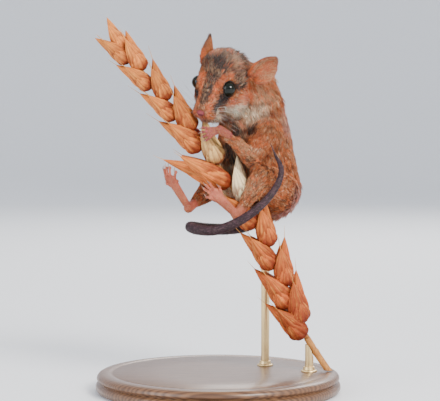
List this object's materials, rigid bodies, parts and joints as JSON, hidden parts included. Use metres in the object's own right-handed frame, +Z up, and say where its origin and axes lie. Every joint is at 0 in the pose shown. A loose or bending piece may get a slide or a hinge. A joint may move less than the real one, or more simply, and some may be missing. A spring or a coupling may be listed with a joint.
{
  "type": "field mouse",
  "caption": "Life-size harvest mouse, a small field mouse, clinging to an ear of wheat with its tail passed round it, on a round wooden base with metal rods",
  "frame": {"origin": "middle of the underside of the round base", "axes": "+Z up; -Y is the front, from which the picture is seen; +X is to the viewer's right, towards the cut end of the stem"},
  "size_m": [0.064, 0.064, 0.0973],
  "materials": {
    "coat": "soft fur, russet with a dark crown and a pale chin",
    "ear": "thin skin with short russet hair on its rim",
    "eye": "glossy, nearly black",
    "paw": "bare pink skin with pale claws",
    "tail": "fine rings of dark scales",
    "straw": "dry straw",
    "husk": "dry ribbed husk, orange gold to red brown",
    "base_wood": "satin varnish",
    "rod_metal": "satin"
  },
  "bodies": {
    "root": {"head": "coat", "neck": "coat", "torso": "coat", "arm_left": "coat", "arm_right": "coat", "leg_left": "coat", "leg_right": "coat", "ear_left": "ear", "ear_right": "ear", "eye_left": "eye", "eye_right": "eye", "hand_left": "paw", "hand_right": "paw", "foot_left": "paw", "foot_right": "paw", "tail_1": "tail", "tail_2": "tail", "tail_3": "tail", "tail_4": "tail", "tail_5": "tail", "perch_stem": "straw", "perch_ear_low": "husk", "perch_ear_middle": "husk", "perch_ear_top": "husk", "stand_base": "base_wood", "stand_rod_body": "rod_metal", "stand_rod_stem": "rod_metal"}
  },
  "joints": []
}
